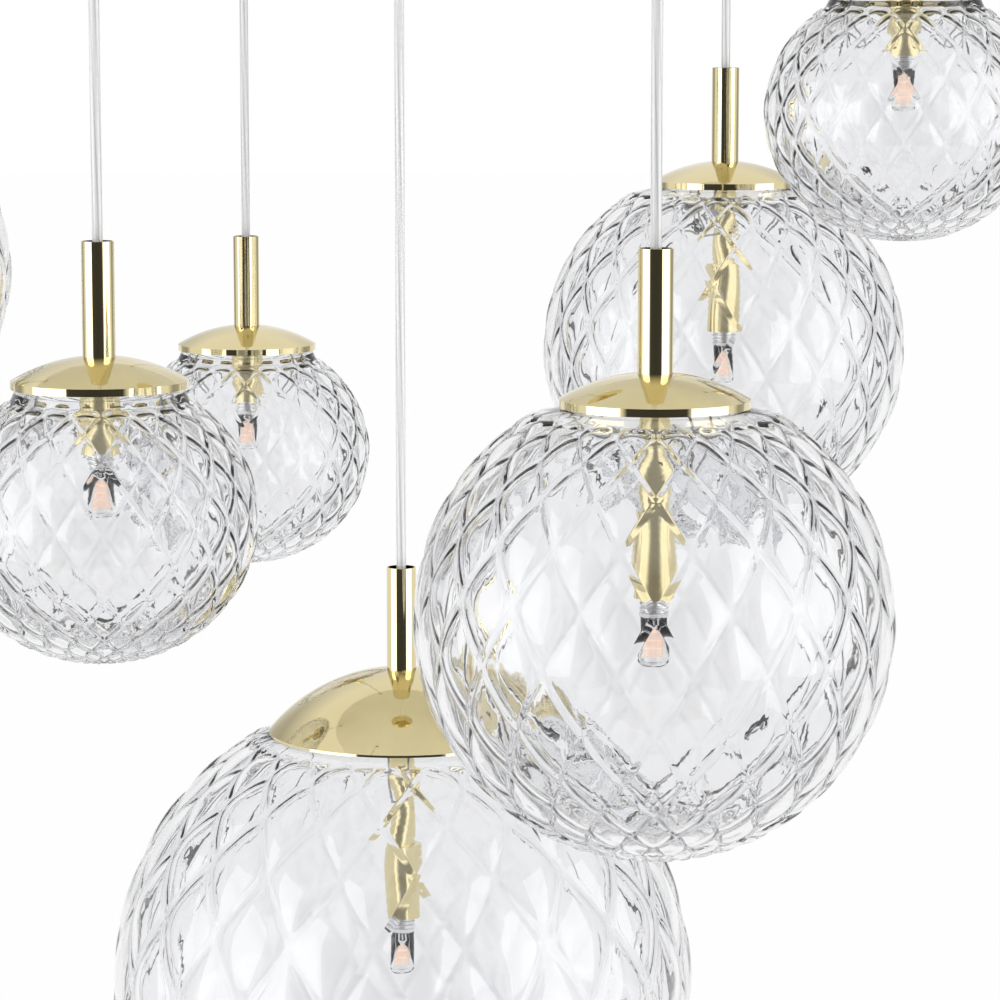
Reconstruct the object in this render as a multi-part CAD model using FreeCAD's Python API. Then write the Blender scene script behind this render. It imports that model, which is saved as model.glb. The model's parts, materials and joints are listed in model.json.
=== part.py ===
"""Cluster pendant: seven mouth-blown glass globes with a diamond relief, each hung on its own cord.

Millimetres, +Z up. The origin is on the ceiling, above the cord of the centre pendant; +X is to
the right and +Y to the back. Every pendant is modelled about its own axis with z = 0 at the lower
edge of its brass cap, then moved to its place.
"""
import FreeCAD
import Part

import math
import os

Vector = FreeCAD.Vector
UP = Vector(0, 0, 1)

# Ceiling canopy: a white tray under a steel bracket, with one boss over each outlet.
CANOPY_RADIUS = 475.0
CANOPY_DEPTH = 45.0
CANOPY_WALL = 1.5
CANOPY_EDGE_RADIUS = 6.0
HUB_RADIUS = 180.0
BRACKET_THICKNESS = 3.0
ARM_WIDTH = 34.0
BOSS_RADIUS = 10.0
BOSS_BORE_DEPTH = 30.0
BOSS_WINDOW_RADIUS = 3.5
CEILING_SCREW_CIRCLE_RADIUS = 150.0
CEILING_SCREW_HOLE_RADIUS = 3.25
CEILING_SCREW_COUNT = 4
MAINS_ENTRY_RADIUS = 15.0
MAINS_ENTRY_OFFSET = 75.0
TERMINAL_LENGTH = 60.0
TERMINAL_WIDTH = 24.0
TERMINAL_HEIGHT = 16.0
TERMINAL_OFFSET = 80.0
TERMINAL_WAYS = 5
TERMINAL_HOLE_RADIUS = 2.2

# Brass centre plate and the hollow cord grips, screwed into the bosses from below.
PLATE_RADIUS = 65.0
PLATE_THICKNESS = 2.0
THREAD_RADIUS = 5.0
THREAD_CLEARANCE = 0.05
HOLE_CLEARANCE = 0.2
GRIP_HEAD_RADIUS = 8.5
GRIP_HEAD_LENGTH = 11.0
GRIP_SHANK_IN_BOSS = 18.0
GRIP_BORE_RADIUS = 3.8
GRIP_MOUTH_RADIUS = 5.4
CORD_TOP_ABOVE_MOUTH = 5.0

# Cord and stem.
CORD_DIAMETER = 6.5
STEM_RADIUS = 10.0
STEM_LENGTH = 70.0
STEM_WALL = 1.0
STEM_PLUG_LENGTH = 8.0
CORD_SEAT_DEPTH = 4.0
WIRE_WAY_RADIUS = 1.8
SPIGOT_RADIUS = 4.9
SPIGOT_IN_SLEEVE = 2.5

# Caps: a spun dome, with an upright band round its edge.
CAP_WALL = 1.2
CAP_SEAT_RADIUS = 11.0
SMALL_CAP_RADIUS = 54.0
SMALL_CAP_BAND = 4.5
SMALL_DOME_RISE = 15.0
LARGE_CAP_RADIUS = 90.5
LARGE_CAP_BAND = 1.5
LARGE_DOME_RISE = 42.0

# Globes. The neck stands inside the cap; a sloping shoulder joins it to the ball.
SMALL_GLOBE_RADIUS = 95.0
SMALL_GLOBE_HALF_HEIGHT = 88.0
SMALL_SHOULDER_WIDTH = 3.5
SMALL_SHOULDER_DROP = 8.0
MEDIUM_GLOBE_RADIUS = 135.0
MEDIUM_GLOBE_HALF_HEIGHT = 135.0
MEDIUM_SHOULDER_WIDTH = 16.5
MEDIUM_SHOULDER_DROP = 4.4
LARGE_GLOBE_RADIUS = 197.0
LARGE_GLOBE_HALF_HEIGHT = 197.0
LARGE_SHOULDER_WIDTH = 12.5
LARGE_SHOULDER_DROP = 4.4
GLASS_WALL = 4.0
NECK_CLEARANCE = 1.8
NECK_RISE = 1.8
NECK_BASE = 0.6

# Relief: crossing valleys, a little below the plain shoulder, leave a ring of diamonds to each
# lattice row; every diamond swells at its middle. A row's height follows its ring's radius.
DIAMONDS_AROUND = 20
DIAMOND_HEIGHT_TO_WIDTH = 1.67
VALLEY_DEPTH = 0.4
DIAMOND_SWELL = 1.3
SMALL_RELIEF_BELOW_SHOULDER = 12.4
MEDIUM_RELIEF_BELOW_SHOULDER = 2.9
LARGE_RELIEF_BELOW_SHOULDER = 8.7
SMALLEST_DIAMOND = 11.0

# Lampholder sleeve with its tube, the pin lampholder and the bulb.
SLEEVE_RADIUS = 12.5
SLEEVE_LENGTH = 52.0
SLEEVE_WALL = 1.0
SLEEVE_TOP_WALL = 3.0
TUBE_RADIUS = 9.25
TUBE_WALL = 1.5
MEDIUM_TUBE_LENGTH = 69.0
LARGE_TUBE_LENGTH = 114.0
HOLDER_LENGTH = 14.0
HOLDER_CLEARANCE = 0.1
PIN_SPACING = 9.0
PIN_WIDTH = 2.6
PIN_THICKNESS = 0.8
PIN_LENGTH = 8.0
PIN_CLEARANCE = 0.4
BULB_SEAT_GAP = 0.3
BULB_BASE_RADIUS = 9.0
BULB_BASE_LENGTH = 16.0
BULB_BASE_IN_SLEEVE = 5.0
CAPSULE_RADIUS = 8.0
CAPSULE_LENGTH = 28.0
CAPSULE_WALL = 1.0
LED_BOARD_WIDTH = 11.0
LED_BOARD_THICKNESS = 1.6
LED_BOARD_LENGTH = 23.0

# Spider under the cap and the three bent wire springs that carry the glass by its neck.
SPRING_COUNT = 3
SPIDER_HUB_MARGIN = 0.3
SPIDER_THICKNESS = 1.5
SMALL_ARM_WIDTH = 16.0
LARGE_ARM_WIDTH = 20.0
SPIDER_TIP_GAP = 2.2
SPIDER_TIP_LENGTH = 10.0
NUT_ACROSS_FLATS = 17.0
NUT_HEIGHT = 4.0
WIRE_RADIUS = 0.75
WIRE_SIDES = 6
SPRING_WIDTH = 13.0
SPRING_GLASS_GAP = 0.3
SPRING_REACH = 3.2
SPRING_KNUCKLE_DEPTH = 9.0
SPRING_DEPTH = 28.0
SPRING_END_INSET = 11.0

SMALL = "small"
MEDIUM = "medium"
LARGE = "large"

# Pendant name: x and y of its cord, height of its cap's lower edge, size, turn of its spider and
# turn of the top row of its relief.
PENDANTS = {
    "left": (-176.0, -239.0, -453.0, SMALL, 215.0, -2.0),
    "back_left": (-132.0, 408.0, -492.0, SMALL, 330.0, 3.0),
    "front": (154.0, -405.0, -446.0, MEDIUM, 300.0, -2.0),
    "centre": (0.0, 0.0, -714.0, LARGE, 270.0, 5.0),
    "back_right": (236.0, 301.0, -359.0, MEDIUM, 250.0, 1.0),
    "right": (345.0, 82.0, -217.0, SMALL, 325.0, 12.0),
    "far_left": (-415.0, 125.0, -286.0, MEDIUM, 280.0, 9.0),
}


def point(radius, height):
    """A point of a profile in the XZ plane."""
    return Vector(radius, 0, height)


def line(start, end):
    return Part.LineSegment(point(*start), point(*end)).toShape()


def turned_edges(edges):
    """Solid of revolution about Z from a closed chain of edges."""
    return Part.Face(Part.Wire(edges)).revolve(Vector(), UP, 360)


def turned(points):
    """Solid of revolution about Z from the corners of a closed profile."""
    return turned_edges([line(a, b) for a, b in zip(points, points[1:] + points[:1])])


def cylinder(radius, bottom, top, x=0.0, y=0.0):
    return Part.makeCylinder(radius, top - bottom, Vector(x, y, bottom))


def block(length, width, bottom, top, x=0.0, y=0.0):
    return Part.makeBox(length, width, top - bottom, Vector(x - length / 2, y - width / 2, bottom))


class Pendant:
    """Heights and radii of one pendant size, worked out from the driving dimensions."""

    def __init__(self, cap, ball, shoulder, relief_below, tube_length, arm_width):
        self.cap_radius, self.cap_band, self.dome_rise = cap
        self.ball_radius, self.ball_half_height = ball
        self.shoulder_width, self.shoulder_drop = shoulder
        self.relief_below = relief_below
        self.tube_length = tube_length
        self.arm_width = arm_width
        self.neck_radius = self.cap_radius - CAP_WALL - NECK_CLEARANCE
        self.bore_radius = self.neck_radius - GLASS_WALL
        self.shoulder_radius = self.neck_radius + self.shoulder_width
        share = self.shoulder_radius / self.ball_radius
        self.ball_centre = -self.shoulder_drop - self.ball_half_height * math.sqrt(1 - share**2)
        self.ball_bottom = self.ball_centre - self.ball_half_height
        self.seat = self.dome_height(CAP_SEAT_RADIUS, 0.0)
        self.spider_top = self.seat - CAP_WALL
        self.sleeve_top = self.spider_top - SPIDER_THICKNESS - NUT_HEIGHT
        self.sleeve_bottom = self.sleeve_top - tube_length - SLEEVE_LENGTH
        self.bulb_top = self.sleeve_bottom + BULB_BASE_IN_SLEEVE
        self.bulb_bottom = self.bulb_top - BULB_BASE_LENGTH - CAPSULE_LENGTH

    def dome_height(self, radius, inset):
        """Height of the dome at a radius, on its outside or set in by the sheet's thickness."""
        sphere = (self.cap_radius**2 + self.dome_rise**2) / (2 * self.dome_rise)
        middle = self.cap_band + self.dome_rise - sphere
        return middle + math.sqrt((sphere - inset) ** 2 - radius**2)

    def ball_share(self, height, inset):
        """Radius of the ball at a height, set in by the wall."""
        share = (height - self.ball_centre) / (self.ball_half_height - inset)
        return (self.ball_radius - inset) * math.sqrt(1 - share**2)


SIZES = {
    SMALL: Pendant(
        (SMALL_CAP_RADIUS, SMALL_CAP_BAND, SMALL_DOME_RISE),
        (SMALL_GLOBE_RADIUS, SMALL_GLOBE_HALF_HEIGHT),
        (SMALL_SHOULDER_WIDTH, SMALL_SHOULDER_DROP),
        SMALL_RELIEF_BELOW_SHOULDER,
        0.0,
        SMALL_ARM_WIDTH,
    ),
    MEDIUM: Pendant(
        (SMALL_CAP_RADIUS, SMALL_CAP_BAND, SMALL_DOME_RISE),
        (MEDIUM_GLOBE_RADIUS, MEDIUM_GLOBE_HALF_HEIGHT),
        (MEDIUM_SHOULDER_WIDTH, MEDIUM_SHOULDER_DROP),
        MEDIUM_RELIEF_BELOW_SHOULDER,
        MEDIUM_TUBE_LENGTH,
        SMALL_ARM_WIDTH,
    ),
    LARGE: Pendant(
        (LARGE_CAP_RADIUS, LARGE_CAP_BAND, LARGE_DOME_RISE),
        (LARGE_GLOBE_RADIUS, LARGE_GLOBE_HALF_HEIGHT),
        (LARGE_SHOULDER_WIDTH, LARGE_SHOULDER_DROP),
        LARGE_RELIEF_BELOW_SHOULDER,
        LARGE_TUBE_LENGTH,
        LARGE_ARM_WIDTH,
    ),
}


# ---------------------------------------------------------------- ceiling


def outlets():
    return [(x, y) for x, y, _, _, _, _ in PENDANTS.values()]


def canopy():
    """White tray, open to the ceiling, with a hole for the shank of each cord grip."""
    floor = CANOPY_WALL - CANOPY_DEPTH
    outer = cylinder(CANOPY_RADIUS, -CANOPY_DEPTH, 0)
    outer = outer.makeFillet(CANOPY_EDGE_RADIUS, [lowest_rim(outer)])
    inside = cylinder(CANOPY_RADIUS - CANOPY_WALL, floor, CANOPY_WALL)
    inside = inside.makeFillet(CANOPY_EDGE_RADIUS - CANOPY_WALL, [lowest_rim(inside)])
    tray = outer.cut(inside)
    holes = [
        cylinder(THREAD_RADIUS + HOLE_CLEARANCE, -CANOPY_DEPTH - 1, floor + 1, x, y)
        for x, y in outlets()
    ]
    return tray.cut(holes)


def lowest_rim(solid):
    """The circular edge of a cylinder's lower face."""
    return min(
        (e for e in solid.Edges if e.Curve.TypeId == "Part::GeomCircle"),
        key=lambda e: e.BoundBox.ZMax,
    )


def ceiling_bracket():
    """Flat steel hub with an arm to each outlet that lies outside it."""
    arms = []
    for x, y in outlets():
        reach = math.hypot(x, y)
        if reach > HUB_RADIUS:
            arm = block(reach, ARM_WIDTH, -BRACKET_THICKNESS, 0, reach / 2)
            arm = arm.fuse(cylinder(ARM_WIDTH / 2, -BRACKET_THICKNESS, 0, reach))
            arm.rotate(Vector(), UP, math.degrees(math.atan2(y, x)))
            arms.append(arm)
    body = cylinder(HUB_RADIUS, -BRACKET_THICKNESS, 0).fuse(arms)
    holes = [cylinder(MAINS_ENTRY_RADIUS, -BRACKET_THICKNESS - 1, 1, 0, -MAINS_ENTRY_OFFSET)]
    for k in range(CEILING_SCREW_COUNT):
        angle = math.radians(360 * k / CEILING_SCREW_COUNT)
        x = CEILING_SCREW_CIRCLE_RADIUS * math.cos(angle)
        y = CEILING_SCREW_CIRCLE_RADIUS * math.sin(angle)
        holes.append(cylinder(CEILING_SCREW_HOLE_RADIUS, -BRACKET_THICKNESS - 1, 1, x, y))
    return body.cut(holes).removeSplitter()


def boss():
    """Tapped boss, welded under the bracket and standing on the tray's floor, with a wire window."""
    floor = CANOPY_WALL - CANOPY_DEPTH
    bore = cylinder(THREAD_RADIUS + THREAD_CLEARANCE, floor - 1, floor + BOSS_BORE_DEPTH)
    window_height = floor + BOSS_BORE_DEPTH - BOSS_WINDOW_RADIUS - 1
    start = Vector(-BOSS_RADIUS - 1, 0, window_height)
    window = Part.makeCylinder(BOSS_WINDOW_RADIUS, 2 * BOSS_RADIUS + 2, start, Vector(1, 0, 0))
    return cylinder(BOSS_RADIUS, floor, -BRACKET_THICKNESS).cut([bore, window])


def terminal_block():
    """Moulded terminal block, screwed under the hub, with a wire way through each pole."""
    top = -BRACKET_THICKNESS
    body = block(TERMINAL_LENGTH, TERMINAL_WIDTH, top - TERMINAL_HEIGHT, top, 0, TERMINAL_OFFSET)
    pitch = TERMINAL_LENGTH / TERMINAL_WAYS
    ways = []
    for k in range(TERMINAL_WAYS):
        x = (k - (TERMINAL_WAYS - 1) / 2) * pitch
        start = Vector(x, TERMINAL_OFFSET - TERMINAL_WIDTH, top - TERMINAL_HEIGHT / 2)
        way = Part.makeCylinder(TERMINAL_HOLE_RADIUS, 2 * TERMINAL_WIDTH, start, Vector(0, 1, 0))
        ways.append(way)
    return body.cut(ways)


def centre_plate():
    """Brass disc under the middle of the tray."""
    top = -CANOPY_DEPTH
    disc = cylinder(PLATE_RADIUS, top - PLATE_THICKNESS, top)
    disc = disc.makeFillet(PLATE_THICKNESS / 2, [lowest_rim(disc)])
    return disc.cut(cylinder(THREAD_RADIUS + HOLE_CLEARANCE, top - PLATE_THICKNESS - 1, top + 1))


def grip_top(size):
    """Height of the shoulder of a cord grip's head."""
    return -CANOPY_DEPTH - (PLATE_THICKNESS if size == LARGE else 0.0)


def hinge_height(size):
    """Height of the top of a cord, where the pendant swings."""
    return grip_top(size) - GRIP_HEAD_LENGTH + CORD_TOP_ABOVE_MOUTH


def cord_grip(size):
    """Hollow grip: a shank that screws into the boss and a head with a flared mouth."""
    top = grip_top(size)
    mouth = top - GRIP_HEAD_LENGTH
    shank_top = CANOPY_WALL - CANOPY_DEPTH + GRIP_SHANK_IN_BOSS
    return turned(
        [
            (GRIP_MOUTH_RADIUS, mouth),
            (GRIP_HEAD_RADIUS, mouth),
            (GRIP_HEAD_RADIUS, top),
            (THREAD_RADIUS, top),
            (THREAD_RADIUS, shank_top),
            (GRIP_BORE_RADIUS, shank_top),
            (GRIP_BORE_RADIUS, mouth + CORD_TOP_ABOVE_MOUTH + 1),
        ]
    )


# ---------------------------------------------------------------- pendant


def cord(size, rim):
    """Straight round cord from the grip's mouth to its seat in the stem, z = 0 at the cap."""
    bottom = size.seat + STEM_PLUG_LENGTH - CORD_SEAT_DEPTH
    return cylinder(CORD_DIAMETER / 2, bottom, rim)


def stem(size):
    """Open brass tube with a plug that seats the cord, and a hollow spigot through the cap."""
    floor = size.seat + STEM_PLUG_LENGTH
    top = size.seat + STEM_LENGTH
    seat_radius = CORD_DIAMETER / 2
    return turned(
        [
            (WIRE_WAY_RADIUS, size.sleeve_top - SPIGOT_IN_SLEEVE),
            (SPIGOT_RADIUS, size.sleeve_top - SPIGOT_IN_SLEEVE),
            (SPIGOT_RADIUS, size.seat),
            (STEM_RADIUS, size.seat),
            (STEM_RADIUS, top),
            (STEM_RADIUS - STEM_WALL, top),
            (STEM_RADIUS - STEM_WALL, floor),
            (seat_radius, floor),
            (seat_radius, floor - CORD_SEAT_DEPTH),
            (WIRE_WAY_RADIUS, floor - CORD_SEAT_DEPTH),
        ]
    )


def cap(size):
    """Spun brass dome with a flat seat for the stem and an upright band at its edge."""
    hole = SPIGOT_RADIUS + HOLE_CLEARANCE
    edge = size.cap_radius
    lip = edge - CAP_WALL
    mid_radius = edge * 0.6
    outside = Part.Arc(
        point(edge, size.dome_height(edge, 0)),
        point(mid_radius, size.dome_height(mid_radius, 0)),
        point(CAP_SEAT_RADIUS, size.seat),
    ).toShape()
    inner_seat = (CAP_SEAT_RADIUS, size.dome_height(CAP_SEAT_RADIUS, CAP_WALL))
    inner_edge = (lip, size.dome_height(lip, CAP_WALL))
    inside = Part.Arc(
        point(*inner_seat),
        point(mid_radius, size.dome_height(mid_radius, CAP_WALL)),
        point(*inner_edge),
    ).toShape()
    return turned_edges(
        [
            line((edge, 0), (edge, size.dome_height(edge, 0))),
            outside,
            line((CAP_SEAT_RADIUS, size.seat), (hole, size.seat)),
            line((hole, size.seat), (hole, inner_seat[1])),
            line((hole, inner_seat[1]), inner_seat),
            inside,
            line(inner_edge, (lip, 0)),
            line((lip, 0), (edge, 0)),
        ]
    )


def ball_arc(size, inset, top, bottom=None):
    """Right-hand arc of the ball's outline from a height, or its lowest point, up to another."""
    radius = size.ball_radius - inset
    half = size.ball_half_height - inset
    centre = point(0, size.ball_centre)
    side = point(radius, size.ball_centre)
    crown = point(0, size.ball_centre + half)
    long_end, short_end = (side, crown) if half <= radius else (crown, side)
    ellipse = Part.Ellipse(long_end, short_end, centre)
    start = point(0, size.ball_centre - half)
    if bottom is not None:
        start = point(size.ball_share(bottom, inset), bottom)
    low = ellipse.parameter(start)
    high = ellipse.parameter(point(size.ball_share(top, inset), top))
    arc = ellipse.toShape(low, high)
    middle = arc.valueAt((arc.FirstParameter + arc.LastParameter) / 2)
    return arc if middle.x > 0 and arc.Length < math.pi * radius else ellipse.toShape(high, low)


def on_ball(size, mercator, angle, inset, swell=0.0):
    """Point of the ball at a lattice height and angle, set in by the wall or raised by a swell."""
    flat = 1 / math.cosh(mercator)
    rise = math.tanh(mercator)
    radius = (size.ball_radius - inset) * flat
    height = size.ball_centre + (size.ball_half_height - inset) * rise
    slope = math.hypot(flat / size.ball_radius, rise / size.ball_half_height)
    radius += swell * flat / size.ball_radius / slope
    height += swell * rise / size.ball_half_height / slope
    return Vector(radius * math.cos(angle), radius * math.sin(angle), height)


def relief_rows(size):
    """Lattice heights from the smallest diamonds near the pole to just below the shoulder."""
    step = math.pi / DIAMONDS_AROUND * DIAMOND_HEIGHT_TO_WIDTH
    below = size.shoulder_drop + size.relief_below
    highest = math.atanh((-below - size.ball_centre) / size.ball_half_height)
    smallest = SMALLEST_DIAMOND * DIAMONDS_AROUND / (2 * math.pi)
    lowest = -math.acosh(size.ball_radius / smallest)
    count = int((highest - lowest) / step)
    return [highest - step * k for k in range(count, -1, -1)]


def lid_height(size, inset):
    """Height at which the faceted ball ends and the smooth collar begins."""
    return size.ball_centre + (size.ball_half_height - inset) * math.tanh(relief_rows(size)[-1])


def facet(*corners):
    return Part.Face(Part.makePolygon(list(corners) + [corners[0]]))


def closed_solid(faces):
    shell = Part.makeShell(faces)
    shell.sewShape()
    solid = Part.makeSolid(shell)
    if solid.Volume < 0:
        solid.reverse()
    return solid


def relief_ball(size):
    """Outside of the ball: four facets to a diamond, with a flat lid below the shoulder."""
    rows = relief_rows(size)
    count = 2 * DIAMONDS_AROUND
    rings = []
    for row, mercator in enumerate(rows):
        inside = 0 < row < len(rows) - 1
        ring = []
        for k in range(count):
            swell = DIAMOND_SWELL if inside and (k + len(rows) - 1 - row) % 2 else 0.0
            ring.append(on_ball(size, mercator, 2 * math.pi * k / count, VALLEY_DEPTH, swell))
        rings.append(ring)
    pole = Vector(0, 0, size.ball_bottom + VALLEY_DEPTH)
    faces = [facet(*rings[-1])]
    faces += [facet(pole, rings[0][k - 1], rings[0][k]) for k in range(count)]
    for row, (lower, upper) in enumerate(zip(rings, rings[1:])):
        for k in range(count):
            if (k + len(rows) - 1 - row) % 2:
                faces.append(facet(lower[k - 1], lower[k], upper[k]))
                faces.append(facet(lower[k - 1], upper[k], upper[k - 1]))
            else:
                faces.append(facet(lower[k - 1], lower[k], upper[k - 1]))
                faces.append(facet(lower[k], upper[k], upper[k - 1]))
    return closed_solid(faces)


def hollow_ball(size):
    """Inside of the ball: the wall follows the valleys, two facets to a diamond."""
    rows = relief_rows(size)
    count = DIAMONDS_AROUND
    rings = []
    for row, mercator in enumerate(rows):
        start = math.pi / count * ((len(rows) - 1 - row) % 2)
        angles = [start + 2 * math.pi * k / count for k in range(count)]
        rings.append([on_ball(size, mercator, angle, GLASS_WALL + VALLEY_DEPTH) for angle in angles])
    pole = Vector(0, 0, size.ball_bottom + GLASS_WALL + VALLEY_DEPTH)
    faces = [facet(*rings[-1])]
    faces += [facet(pole, rings[0][k - 1], rings[0][k]) for k in range(count)]
    for row, (lower, upper) in enumerate(zip(rings, rings[1:])):
        for k in range(count):
            if (len(rows) - 1 - row) % 2:
                faces.append(facet(lower[k - 1], lower[k], upper[k]))
                faces.append(facet(lower[k - 1], upper[k], upper[k - 1]))
            else:
                faces.append(facet(lower[k - 1], lower[k], upper[k - 1]))
                faces.append(facet(lower[k], upper[k], upper[k - 1]))
    return closed_solid(faces)


def globe(size):
    """Pressed glass: neck, sloping shoulder and relief ball, open at the neck only."""
    outer_top = -size.shoulder_drop
    lid = lid_height(size, VALLEY_DEPTH)
    collar = turned_edges(
        [
            line((0, lid), (size.ball_share(lid, 0), lid)),
            ball_arc(size, 0, outer_top, lid),
            line((size.shoulder_radius, outer_top), (size.neck_radius, -NECK_BASE)),
            line((size.neck_radius, -NECK_BASE), (size.neck_radius, NECK_RISE)),
            line((size.neck_radius, NECK_RISE), (0, NECK_RISE)),
            line((0, NECK_RISE), (0, lid)),
        ]
    )
    inner_top = outer_top - GLASS_WALL
    inner_shoulder = (size.ball_share(inner_top, GLASS_WALL), inner_top)
    inner_lid = lid_height(size, GLASS_WALL + VALLEY_DEPTH)
    base = -NECK_BASE - GLASS_WALL
    mouth = turned_edges(
        [
            line((0, inner_lid), (size.ball_share(inner_lid, GLASS_WALL), inner_lid)),
            ball_arc(size, GLASS_WALL, inner_top, inner_lid),
            line(inner_shoulder, (size.bore_radius, base)),
            line((size.bore_radius, base), (size.bore_radius, NECK_RISE + 1)),
            line((size.bore_radius, NECK_RISE + 1), (0, NECK_RISE + 1)),
            line((0, NECK_RISE + 1), (0, inner_lid)),
        ]
    )
    body = relief_ball(size).fuse(collar)
    room = hollow_ball(size).fuse(mouth)
    return body.cut(room)


def sleeve(size):
    """Brass lampholder sleeve, on the larger sizes at the foot of a tube, tapped at its top."""
    top = size.sleeve_top
    shoulder = top - size.tube_length
    bottom = size.sleeve_bottom
    thread = SPIGOT_RADIUS + THREAD_CLEARANCE
    inner = SLEEVE_RADIUS - SLEEVE_WALL
    outline = [(inner, bottom), (SLEEVE_RADIUS, bottom), (SLEEVE_RADIUS, shoulder)]
    if size.tube_length > 0:
        tube_inner = TUBE_RADIUS - TUBE_WALL
        outline += [(TUBE_RADIUS, shoulder), (TUBE_RADIUS, top), (thread, top)]
        outline += [(thread, top - SLEEVE_TOP_WALL), (tube_inner, top - SLEEVE_TOP_WALL)]
        outline += [(tube_inner, shoulder - SLEEVE_TOP_WALL), (inner, shoulder - SLEEVE_TOP_WALL)]
    else:
        outline += [(thread, top), (thread, top - SLEEVE_TOP_WALL), (inner, top - SLEEVE_TOP_WALL)]
    return turned(outline)


def lampholder(size):
    """Ceramic pin holder inside the sleeve, with two slots for the bulb's pins."""
    bottom = size.bulb_top + BULB_SEAT_GAP
    body = cylinder(SLEEVE_RADIUS - SLEEVE_WALL - HOLDER_CLEARANCE, bottom, bottom + HOLDER_LENGTH)
    slots = [
        block(
            PIN_WIDTH + PIN_CLEARANCE,
            PIN_THICKNESS + PIN_CLEARANCE,
            bottom - 1,
            size.bulb_top + PIN_LENGTH + 1,
            side * PIN_SPACING / 2,
        )
        for side in (-1, 1)
    ]
    return body.cut(slots)


def bulb(size):
    """LED capsule: ceramic base with two flat pins, clear capsule and the LED board inside."""
    top = size.bulb_top
    base_bottom = top - BULB_BASE_LENGTH
    end = base_bottom - CAPSULE_LENGTH
    base = cylinder(BULB_BASE_RADIUS, base_bottom, top)
    base = base.fuse(
        [
            block(PIN_WIDTH, PIN_THICKNESS, top - 1, top + PIN_LENGTH, side * PIN_SPACING / 2)
            for side in (-1, 1)
        ]
    )
    inner = CAPSULE_RADIUS - CAPSULE_WALL
    shoulder = end + CAPSULE_RADIUS / 2
    capsule = turned(
        [
            (0, end),
            (CAPSULE_RADIUS / 2, end),
            (CAPSULE_RADIUS, shoulder),
            (CAPSULE_RADIUS, base_bottom),
            (inner, base_bottom),
            (inner, shoulder + CAPSULE_WALL / 2),
            (CAPSULE_RADIUS / 2 - CAPSULE_WALL / 2, end + CAPSULE_WALL),
            (0, end + CAPSULE_WALL),
        ]
    )
    board = block(LED_BOARD_WIDTH, LED_BOARD_THICKNESS, base_bottom - LED_BOARD_LENGTH, base_bottom)
    return Part.makeCompound([base, capsule, board])


def bent_wire(path):
    """Wire of a regular section with mitred corners along a path of points."""
    steps = [(b - a).normalize() for a, b in zip(path, path[1:])]
    across = steps[0].cross(Vector(0, 1, 0)).normalize()
    beside = steps[0].cross(across)
    ring = []
    for k in range(WIRE_SIDES):
        angle = 2 * math.pi * k / WIRE_SIDES
        spoke = across * math.cos(angle) + beside * math.sin(angle)
        ring.append(path[0] + spoke * WIRE_RADIUS)
    rings = [ring]
    for index, step in enumerate(steps):
        corner = path[index + 1]
        following = steps[index + 1] if index + 1 < len(steps) else step
        normal = (step + following).normalize()
        ring = [p + step * ((corner - p).dot(normal) / step.dot(normal)) for p in ring]
        rings.append(ring)
    faces = [facet(*rings[0]), facet(*rings[-1])]
    for near, far in zip(rings, rings[1:]):
        faces += [facet(near[k - 1], near[k], far[k], far[k - 1]) for k in range(WIRE_SIDES)]
    return closed_solid(faces)


def spring(size):
    """Bent wire that snaps out under the inside corner of the neck."""
    side = SPRING_WIDTH / 2 + WIRE_RADIUS
    corner_radius = math.sqrt(size.bore_radius**2 - side**2)
    corner = -NECK_BASE - GLASS_WALL
    knuckle = (corner_radius + SPRING_REACH, corner - SPRING_KNUCKLE_DEPTH)
    start_height = -SPIDER_THICKNESS / 2 - WIRE_RADIUS
    reach = math.hypot(SPRING_REACH, SPRING_KNUCKLE_DEPTH)
    lean = math.atan(SPRING_REACH / SPRING_KNUCKLE_DEPTH)
    lean += math.asin((WIRE_RADIUS + SPRING_GLASS_GAP) / reach)
    bend = (knuckle[0] - (start_height - knuckle[1]) * math.tan(lean), start_height)
    start = (bend[0] - SPIDER_TIP_LENGTH + 1, start_height)
    tip = (corner_radius - SPRING_END_INSET, corner - SPRING_DEPTH)
    half = SPRING_WIDTH / 2
    down = [Vector(r, -half, z) for r, z in (start, bend, knuckle, tip)]
    back = [Vector(r, half, z) for r, z in (tip, knuckle, bend, start)]
    return bent_wire(down + back)


def hub_radius():
    """The spider's hub lies flat against the seat pressed in the cap."""
    return CAP_SEAT_RADIUS - SPIDER_HUB_MARGIN


def spider_arm(size):
    """Strap from the hub down to just inside the neck."""
    top = size.spider_top
    half = SPIDER_THICKNESS / 2
    tip = size.bore_radius - SPIDER_TIP_GAP
    bend = tip - SPIDER_TIP_LENGTH
    root = math.sqrt(max(hub_radius() ** 2 - (size.arm_width / 2) ** 2, 1.0))
    outline = [
        (0, top),
        (root, top),
        (bend, half),
        (tip, half),
        (tip, -half),
        (bend, -half),
        (root, top - SPIDER_THICKNESS),
        (0, top - SPIDER_THICKNESS),
    ]
    corners = [Vector(r, -size.arm_width / 2, z) for r, z in outline]
    return facet(*corners).extrude(Vector(0, size.arm_width, 0))


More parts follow.
